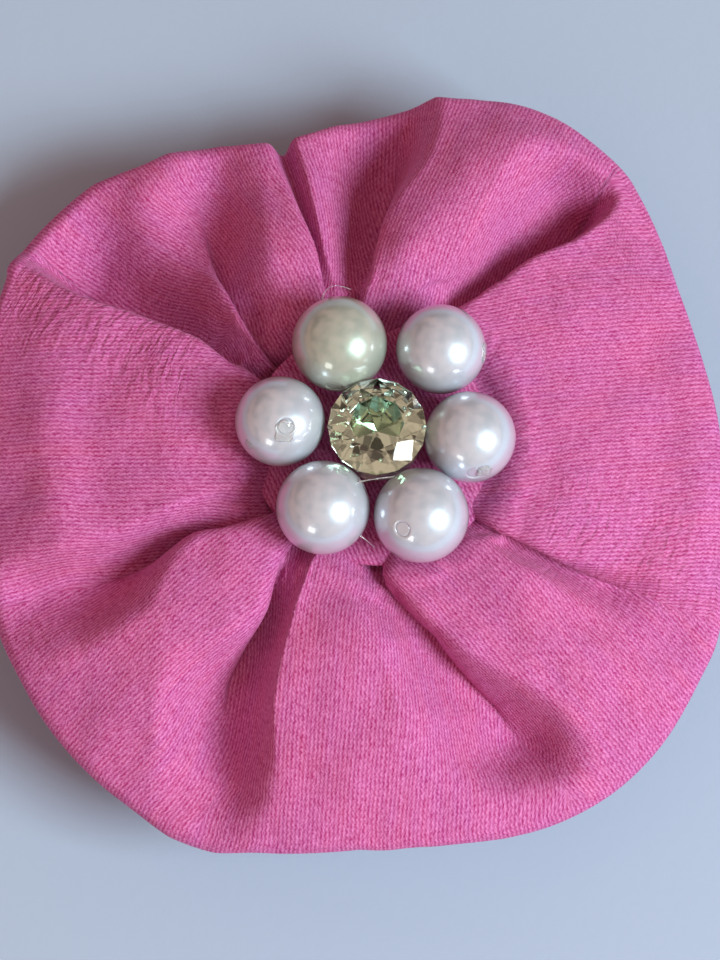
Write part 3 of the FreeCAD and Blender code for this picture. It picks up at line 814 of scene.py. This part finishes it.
def spread_move(move, keep, count):
    """The coarse grid's movement, spread smoothly over every row and column."""
    def widen(line):
        return np.interp(np.arange(HOOP), np.arange(0, HOOP, SIM_COLUMNS), line, period=HOOP)

    def lengthen(line):
        return np.interp(np.arange(count), keep, line)

    tall = np.apply_along_axis(lengthen, 0, np.apply_along_axis(widen, 1, move))
    weights = np.hanning(7)[1:-1] / np.hanning(7).sum()
    rows = np.clip(np.arange(count)[:, None] + np.arange(-2, 3), 0, count - 1)
    tall = sum(share * tall[rows[:, k]] for k, share in enumerate(weights))
    return sum(share * np.roll(tall, k - 2, 1) for k, share in enumerate(weights))


def make_flower():
    """The gathered, folded strip as one closed sheet: face, rolled rim, back and neck."""
    face, starts, ends = flower_face()
    back = flower_back(face[:, :, :3])
    crinkle = np.zeros((len(face) + len(back), HOOP))
    crinkle[:len(face)] = face[:, :, 3]
    rows = np.concatenate([face[:, :, :3], np.array(back)])
    count = len(rows)
    flat = rows.reshape(-1, 3)           # the same points in one list
    flat[:, 2] += soft_waves(flat) * smoothstep(13.0, 16.0, polar(flat)[0])
    rows += settle(rows)
    obj = mesh_object("flower_cloth", flat + [*HEART, 0], grid_faces(count, HOOP, True))
    v = np.cumsum(norm(np.diff(rows, axis=0), axis=2), axis=0)
    v = np.vstack([np.zeros(HOOP), v, v[-1:] + 1.0])
    more = ((0, len(v) - len(starts)), (0, 0))
    starts, ends = np.pad(starts, more, "edge"), np.pad(ends, more, "edge")
    after = np.roll(v, -1, axis=1)
    corners = np.stack([np.stack(uv, axis=2) for uv in (
        (starts[:-1], v[:-1]), (ends[:-1], after[:-1]), (ends[1:], after[1:]), (starts[1:], v[1:]),
    )], axis=2)
    layer = obj.data.uv_layers.new(name="cloth")
    layer.data.foreach_set("uv", corners.reshape(-1).astype(np.float32))
    mark = obj.data.attributes.new("crinkle", "FLOAT", "POINT")
    mark.data.foreach_set("value", crinkle.reshape(-1).astype(np.float32))
    finish_piece(obj, CREPE, "flower_fabric")


# ---- pearls and stone
PEARL_POLE = 0.965           # height of a hole's mouth, as a share of its bead's radius
BORE = 0.6                   # radius of a bead's threading hole
HOLES = {                    # direction of each bead's hole
    "pearl_1": (0.09, -0.91, 0.40),
    "pearl_2": (0.97, -0.15, 0.15),
    "pearl_3": (0.10, 0.98, -0.17),
    "pearl_4": (0.15, -0.33, 0.93),
    "pearl_5": (0.92, 0.35, 0.15),
    "pearl_6": (-0.41, -0.46, 0.79),
}


def ball(name):
    """Centre and radius of a pearl, from its CAD solid's box."""
    low, high = box_mm(name)
    return (low + high) / 2, float(np.max(high - low)) / 2


def make_pearl(name, seed):
    centre, r = ball(name)
    top = r * PEARL_POLE
    edge = math.asin((BORE + 0.2) / r)       # the lacquer rounds off the bead beside its hole
    mouth = [(BORE, top - 0.12), (BORE + 0.02, top - 0.02), (BORE + 0.08, top + 0.03)]
    arc = [(r * math.sin(t), r * math.cos(t)) for t in np.linspace(edge, math.pi / 2, 36)]
    half = mouth + arc
    profile = half + [(x, -z) for x, z in half[-2::-1]]
    profile += [(BORE, z) for z in np.linspace(0.14 - top, top - 0.14, 6)[1:-1]]
    bead = Solid()
    bead.lathe(profile, centre, HOLES[name], 88, True, waves(3, 0.004, seed))
    plug = [(0.02, top + 0.01), (0.35, top + 0.01), (0.55, top + 0.015), (0.64, top + 0.0),
            (0.64, top - 0.9), (0.02, top - 0.9)]
    for sign in (1, -1):     # lacquered over inside each mouth
        bead.lathe(plug, centre, sign * np.array(HOLES[name]), 40)
    material, slot = (CREAM_PEARL, "cream_pearl") if name == "pearl_3" else (PEARL, "pearl")
    finish_piece(bead.build(f"bead_{name[-1]}"), material, name)


def cut_stone(node, name, material, bevel):
    """A CAD solid's own facets, joined up, flat and with their edges just broken."""
    mesh = bpy.data.meshes.new(name)
    bm = bmesh.new()
    bm.from_mesh(nodes[node].data)
    bmesh.ops.remove_doubles(bm, verts=bm.verts, dist=0.002 * MM)
    bmesh.ops.dissolve_limit(bm, angle_limit=math.radians(1.5), verts=bm.verts, edges=bm.edges)
    if bevel:
        bmesh.ops.bevel(bm, geom=list(bm.edges), offset=bevel * MM, segments=1,
                        affect="EDGES", profile=0.5)
    bmesh.ops.recalc_face_normals(bm, faces=bm.faces)
    bm.to_mesh(mesh)
    bm.free()
    for p in mesh.polygons:
        p.use_smooth = False
    finish_piece(add_object(name, mesh), material, node)


def puddle(solid, name, seed):
    """Glue squeezed out under a pearl: it follows the bead up and ends in a rounded edge."""
    centre, r = ball(name)
    foot = patch_high[2] - 0.02
    reach = 2.25
    profile = [(0.05, foot + 0.05)]
    for x in np.linspace(0.5, reach, 7):
        profile.append((x, centre[2] - math.sqrt(r * r - x * x) + 0.03))
    lip = profile[-1][1]
    profile += [(reach + 0.25, lip - 0.02), (reach + 0.45, lip - 0.2), (reach + 0.62, foot + 0.22),
                (reach + 0.66, foot + 0.08), (reach + 0.6, foot), (1.0, foot), (0.05, foot)]
    solid.lathe(profile, centre * (1, 1, 0), (0, 0, 1), 64, wave=waves(5, 0.09, seed))


def lump(solid, centre, normal, radius, height, seed):
    """A flattened blob of glue on a surface."""
    profile = [(0.02, height), (0.45 * radius, 0.9 * height), (0.75 * radius, 0.62 * height),
               (0.94 * radius, 0.25 * height), (radius, 0.02), (0.9 * radius, -0.12),
               (0.02, -0.2)]
    solid.lathe(profile, centre, normal, 36, wave=waves(4, 0.16, seed))


def strand(solid, start, end, sag, radius):
    """A hair of glue drawn out between two points."""
    t = np.linspace(0, 1, 24)
    path = start + np.outer(t, end - start) + np.outer(4 * t * (1 - t), sag)
    solid.tube(path, radius * (0.55 + 0.9 * (2 * t - 1) ** 2), 6)


def on_pearl(name, direction, out=0.0):
    centre, r = ball(name)
    return centre + unit(direction) * (r + out)


def make_pearl_glue():
    glue = Solid()
    for k, name in enumerate(HOLES):
        puddle(glue, name, 20 + k)
    low, high = box_mm("stone_foil")
    x, y = (low + high)[:2] / 2
    girdle = float(high[2])
    foot = patch_high[2] - 0.02
    mound = [(0.05, low[2] - 0.05), (1.3, low[2] + 0.65), (2.3, girdle - 1.65), (2.75, girdle - 1.5),
             (3.2, girdle - 1.75), (3.5, foot + 1.6), (3.7, foot + 0.6), (3.6, foot), (0.05, foot)]
    glue.lathe(mound, (x, y, 0), (0, 0, 1), 72, wave=waves(4, 0.035, 31))
    for name, direction, size, thick, seed in (
            ("pearl_4", (0.14, -0.42, 0.86), 0.95, 0.10, 41),
            ("pearl_4", (-0.60, -0.55, 0.35), 0.50, 0.12, 42),
            ("pearl_1", (0.30, -0.84, 0.42), 0.70, 0.16, 43),
            ("pearl_2", (0.97, -0.12, 0.20), 0.85, 0.10, 44),
            ("pearl_5", (0.42, 0.66, 0.60), 0.62, 0.10, 45)):
        lump(glue, on_pearl(name, direction, -0.04), direction, size, thick, seed)
    between_beads = (ball("pearl_6")[0] + ball("pearl_5")[0]) / 2
    strand(glue, on_pearl("pearl_5", (0.75, 0.45, 0.50)), on_pearl("pearl_6", (-0.55, 0.75, 0.40)),
           (0, 0, 0.25), 0.07)
    strand(glue, on_pearl("pearl_5", (0.70, -0.55, 0.10)),
           between_beads + (0.2, -2.6, -2.9), (0.3, -0.3, 0.4), 0.06)
    strand(glue, on_pearl("pearl_3", (-0.35, 0.85, 0.30)),
           ball("pearl_3")[0] + (0.9, 5.6, -2.6), (-0.4, 0.4, 1.1), 0.045)
    finish_piece(glue.build("heart_glue"), GLUE, "pearl_glue")


# ---- flat soft pieces
def round_outline(radius, count, wave=np.ones_like):
    """Outline of a disc about the heart."""
    turn = np.arange(count) * 2 * math.pi / count
    return HEART + circle(turn, radius * wave(turn))


def box_outline(low, high, corner, count):
    """Outline of a rectangle with rounded corners, walked evenly from its +X side."""
    middle, half = (low + high) / 2, (high - low) / 2 - corner
    path = []
    for k, sides in enumerate(((1, 1), (-1, 1), (-1, -1), (1, -1))):
        bend = circle(np.radians(np.linspace(k * 90, k * 90 + 90, 9)), corner)
        path += list(middle + half * sides + bend)
    path = np.array(path + path[:1])
    walked = np.r_[0, np.cumsum(norm(np.diff(path, axis=0), axis=1))]
    at = np.linspace(0, walked[-1], count, endpoint=False)
    return np.column_stack([np.interp(at, walked, path[:, c]) for c in range(2)])


def soft_slab(solid, outline, thickness, middle, rough, rows):
    """A sheet of some thickness with rounded edges, middle(plan) being the height of its
    middle. Returns its points and their rough normals."""
    t = thickness / 2
    centre = outline.mean(0)
    size = norm(outline - centre, axis=1)[:, None]
    inner = 1 - 0.45 * t / size
    face = [(s * inner, t, 0.0) for s in np.linspace(0.03, 1, rows)]
    side = [(1 - 0.1 * t / size, 0.62 * t, 0.6), (1 + 0 * size, 0.0, 1.0),
            (1 - 0.1 * t / size, -0.62 * t, 0.6)]
    rings, normals = [], []
    for share, up, outward in face + side + [(s, -z, o) for s, z, o in face[::-1]]:
        plan = centre + share * (outline - centre)
        lift = middle(plan) + up + rough * rng.normal(size=len(plan))
        rings.append(np.column_stack([plan, lift]))
        out = outward * (outline - centre) / size
        normals.append(np.column_stack([out, np.full(len(out), np.sign(up) * (1 - outward))]))
    solid.rings(rings)
    return np.vstack(rings), np.vstack(normals)


def fray(cloth, slab, count, length, below=0.0, radius=0.02):
    """Fibres standing out of a slab's edge, and out of its underside if below is given."""
    points, normals = slab
    edge = normals[:, :2].any(axis=1)
    cloth.fibres(points[edge], normals[edge], count, length, radius)
    if below:
        under = normals[:, 2] < 0
        cloth.fibres(points[under], normals[under], count, below, radius)


def planar_uv(obj, degrees):
    """Cloth coordinates in millimetres for a flat piece."""
    index = np.empty(len(obj.data.loops), int)
    obj.data.loops.foreach_get("vertex_index", index)
    co = points_of(obj.data)[index]
    c, s = circle(math.radians(degrees), 1.0)[0]
    plan = np.column_stack([c * co[:, 0] + s * co[:, 1], c * co[:, 1] - s * co[:, 0] + co[:, 2]])
    obj.data.uv_layers.new(name="cloth").data.foreach_set("uv", plan.reshape(-1))


def make_patch():
    """The round of cloth that covers the gathers, its cut edge a little uneven and frayed."""
    outline = round_outline(PATCH_R - 0.9, 240, waves(7, 0.02, 51))
    z = (patch_low[2] + patch_high[2]) / 2

    def middle(plan):
        far, turn = polar(plan - HEART)
        return z - 0.3 * smoothstep(8.5, 11.5, far) * (1 + np.sin(5 * turn + 1.0)) / 2

    cloth = Solid()
    slab = soft_slab(cloth, outline, 0.7, middle, 0.0, 40)
    fray(cloth, slab, 140, 0.9, radius=0.022)
    obj = cloth.build("patch_cloth")
    planar_uv(obj, 25.0)
    finish_piece(obj, CREPE, "heart_patch")


def make_felt():
    outline = round_outline(FELT_R - 0.1, 360, waves(9, 0.006, 52))
    z, thick = (felt_low[2] + felt_high[2]) / 2, felt_high[2] - felt_low[2]
    felt = Solid()
    slab = soft_slab(felt, outline, thick - 0.1, lambda plan: z, 0.025, 60)
    fray(felt, slab, 420, 1.0, 0.7)
    finish_piece(felt.build("felt_disc"), FELT, "backing_felt")


def make_strap():
    """The felt band: glued down at both ends, it dips under the fixed jaw between them."""
    low, high = box_mm("clip_strap")
    jaw_low, jaw_high = box_mm("fixed_jaw")
    thick = 1.2
    jaw_y = (jaw_low[1] + jaw_high[1]) / 2
    half = (jaw_high[1] - jaw_low[1]) / 2

    def middle(plan):
        rise = smoothstep(half + 1.2, half + 2.9, np.abs(plan[:, 1] - jaw_y))
        return low[2] + thick / 2 + (high[2] - low[2] - thick) * rise

    felt = Solid()
    outline = box_outline(low[:2] + 0.08, high[:2] - 0.08, 1.0, 300)
    slab = soft_slab(felt, outline, thick - 0.06, middle, 0.022, 46)
    fray(felt, slab, 260, 0.9, 0.6)
    finish_piece(felt.build("felt_strap"), FELT, "clip_strap")


def make_glue_layer(node, name, outline, size, seed):
    """A flat layer of glue, its edge where it was squeezed out."""
    low, high = box_mm(node)
    glue = Solid()
    z, thick = (low[2] + high[2]) / 2, high[2] - low[2]
    centre = outline.mean(0)
    out = outline - centre
    grow = waves(8, size, seed)(polar(out)[1])
    outline = centre + out * grow[:, None]
    soft_slab(glue, outline, thick - 0.02, lambda plan: z, 0.0, 14)
    finish_piece(glue.build(name), GLUE, node)


# ---- thread
def make_thread():
    """Two turns of two-ply thread drawing up the raw edges, knotted together."""
    low, high = box_mm("gathering_thread")
    z, ring, ply = (low[2] + high[2]) / 2, 3.05, 0.125
    sewing = Solid()
    turn = np.linspace(0, 2 * math.pi, 300)
    for lift in (-0.35, 0.35):
        for phase in (0.0, math.pi):
            twist = 21 * turn + phase
            far = ring + ply * np.cos(twist)
            height = z + lift + ply * np.sin(twist) + 0.08 * np.sin(3 * turn)
            sewing.tube(np.column_stack([HEART + circle(turn, far), height]), 0.13, 6)
    knot = HEART + circle(math.radians(110), ring - 0.25)[0]
    t = np.linspace(0, 2 * math.pi, 140)
    loop = np.column_stack([circle(2 * t, 0.30 + 0.16 * np.cos(3 * t)), 0.30 * np.sin(3 * t)])
    sewing.tube(loop + (*knot, z), 0.15, 6)
    finish_piece(sewing.build("sewn_thread"), THREAD, "gathering_thread")


# ---- the clip
def make_spring():
    """Left-handed wire coil on the pin; the tangent legs press the fixed jaw and the handle."""
    low, high = box_mm("hinge_pin")
    hinge = (low + high) / 2
    coil, wire, half = 1.2, 0.3, 2.0
    top_end = (hinge[0] + 10.0, hinge[1] - half, 8.62)
    low_end = (hinge[0] + 8.0, hinge[1] + half, 1.80)

    def tangent(end, sign):
        dx, dz = end[0] - hinge[0], end[2] - hinge[2]
        return math.atan2(dz, dx) + sign * math.acos(coil / math.hypot(dx, dz))

    start, stop = tangent(top_end, 1), tangent(low_end, -1)
    sweep = 6 * 2 * math.pi + stop - start
    turn = np.linspace(0, 1, 420)
    angle = start + sweep * turn
    helix = np.column_stack([hinge[0] + coil * np.cos(angle), hinge[1] - half + 2 * half * turn,
                             hinge[2] + coil * np.sin(angle)])
    legs = []
    for end, at in ((top_end, helix[0]), (low_end, helix[-1])):
        t = np.linspace(0, 1, 40)[:-1, None]
        legs.append(np.array(end) + (at - np.array(end)) * t)
    path = np.vstack([legs[0], helix, legs[1][::-1]])
    spring = Solid()
    radius = np.full(len(path), wire)
    radius[[0, -1]] = 0.8 * wire
    spring.tube(path, radius, 14)
    obj = spring.build("coil_spring")
    obj.data.materials.append(SPRING)
    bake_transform(obj)
    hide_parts("torsion_spring")


def dress_steel(node):
    """A CAD solid of sheet steel: its sharp edges slightly broken, plated finish."""
    obj = nodes[node]
    obj.data.materials.clear()
    obj.data.materials.append(PLATED)
    bevel = obj.modifiers.new("broken_edges", "BEVEL")
    adjust(bevel, width=0.07 * MM, segments=2, limit_method="ANGLE",
           angle_limit=math.radians(38), harden_normals=True)


make_flower()
make_patch()
for k, bead_name in enumerate(HOLES):
    make_pearl(bead_name, 60 + k)
cut_stone("glass_stone", "cut_stone", STONE, 0.03)
cut_stone("stone_foil", "stone_back", FOIL, 0.0)
make_pearl_glue()
make_felt()
make_strap()
glue_low, glue_high = box_mm("clip_glue")
for glued, shape_name, shape, uneven, seed in (
        ("fabric_glue", "glue_under_flower", round_outline(13.7, 160), 0.03, 71),
        ("patch_glue", "glue_under_patch", round_outline(9.7, 120), 0.04, 72),
        ("clip_glue", "glue_over_clip",
         box_outline(glue_low[:2] + 0.1, glue_high[:2] - 0.1, 1.5, 200), 0.02, 73)):
    make_glue_layer(glued, shape_name, shape, uneven, seed)
make_thread()
make_spring()
for steel in ("fixed_jaw", "moving_jaw", "hinge_pin"):
    dress_steel(steel)


# ---- stage, light, camera
FLOOR_HALF = 3000.0
FLOOR_DROP = 0.02            # it lies this far below the clip
floor = mesh_object("floor", [(x * FLOOR_HALF, y * FLOOR_HALF, -FLOOR_DROP)
                              for x, y in ((-1, -1), (1, -1), (1, 1), (-1, 1))], [(0, 1, 2, 3)])
floor.data.materials.append(PAPER)


def area(name, direction, distance, size, power, colour):
    """A square light that faces the origin, at a distance in metres."""
    light = bpy.data.lights.new(name, "AREA")
    adjust(light, size=size, energy=power, color=colour)
    obj = add_object(name, light)
    obj.location = Vector(direction).normalized() * distance
    obj.rotation_euler = (-Vector(direction)).to_track_quat("-Z", "Y").to_euler()


area("window", (0.69, -0.31, 0.70), 1.0, 0.44, 13.8, (0.81, 0.95, 1.0))
area("far_window", (-0.40, -0.89, 0.30), 1.2, 0.30, 1.2, (1.0, 0.95, 0.90))


def room():
    """A dim warm room, patchy enough to be seen in the pearls and the stone."""
    n = Nodes("room", "worlds")
    patches = n.noise(n.make("ShaderNodeTexCoord", {}, "Generated"), 2.3, 1.5)
    backdrop = n.tree.nodes["Background"]
    n.put(backdrop.inputs[0], (1.0, 0.62, 0.53))
    n.put(backdrop.inputs[1], n.ramp(patches, 0.42, 0.58, **{"To Min": 0.08, "To Max": 0.76}))
    # seen directly, past the card's edge, it is plain grey
    plain = n.node("ShaderNodeBackground", (0.22, 0.21, 0.23))
    direct = n.make("ShaderNodeLightPath", {}, "Is Camera Ray")
    seen = n.node("ShaderNodeMixShader", direct, backdrop.outputs[0], plain)
    n.put(n.tree.nodes["World Output"].inputs[0], seen)
    scene.world = n.holder


room()

CAMERA_ELEVATION = 77.0
CAMERA_DISTANCE = 300.0
CAMERA_HEART_Z = 20.2        # height of the heart's middle, which the camera is set by
HEART_RIGHT, HEART_UP = 1.70, 4.44       # how far the heart is from the middle of the view
camera_data = bpy.data.cameras.new("camera")
adjust(camera_data, sensor_fit="VERTICAL", sensor_height=36.0, lens=130.5, clip_start=0.01)
camera = add_object("camera", camera_data)
scene.camera = camera


def aim_camera():
    """Looks steeply down, with the heart a little right of the middle and above it."""
    heart = Vector((*HEART, CAMERA_HEART_Z)) * MM
    lean = math.radians(CAMERA_ELEVATION)
    back = Vector((0, -math.cos(lean), math.sin(lean)))
    right = Vector((1, 0, 0))
    eye = heart + back * CAMERA_DISTANCE * MM
    target = heart - (right * HEART_RIGHT + back.cross(right) * HEART_UP) * MM
    z = (eye - target).normalized()
    x = (right - z * right.dot(z)).normalized()
    turned = Matrix((x, z.cross(x), z)).transposed().to_4x4()
    camera.matrix_world = Matrix.Translation(eye) @ turned


aim_camera()
scene.view_settings.view_transform = "Standard"
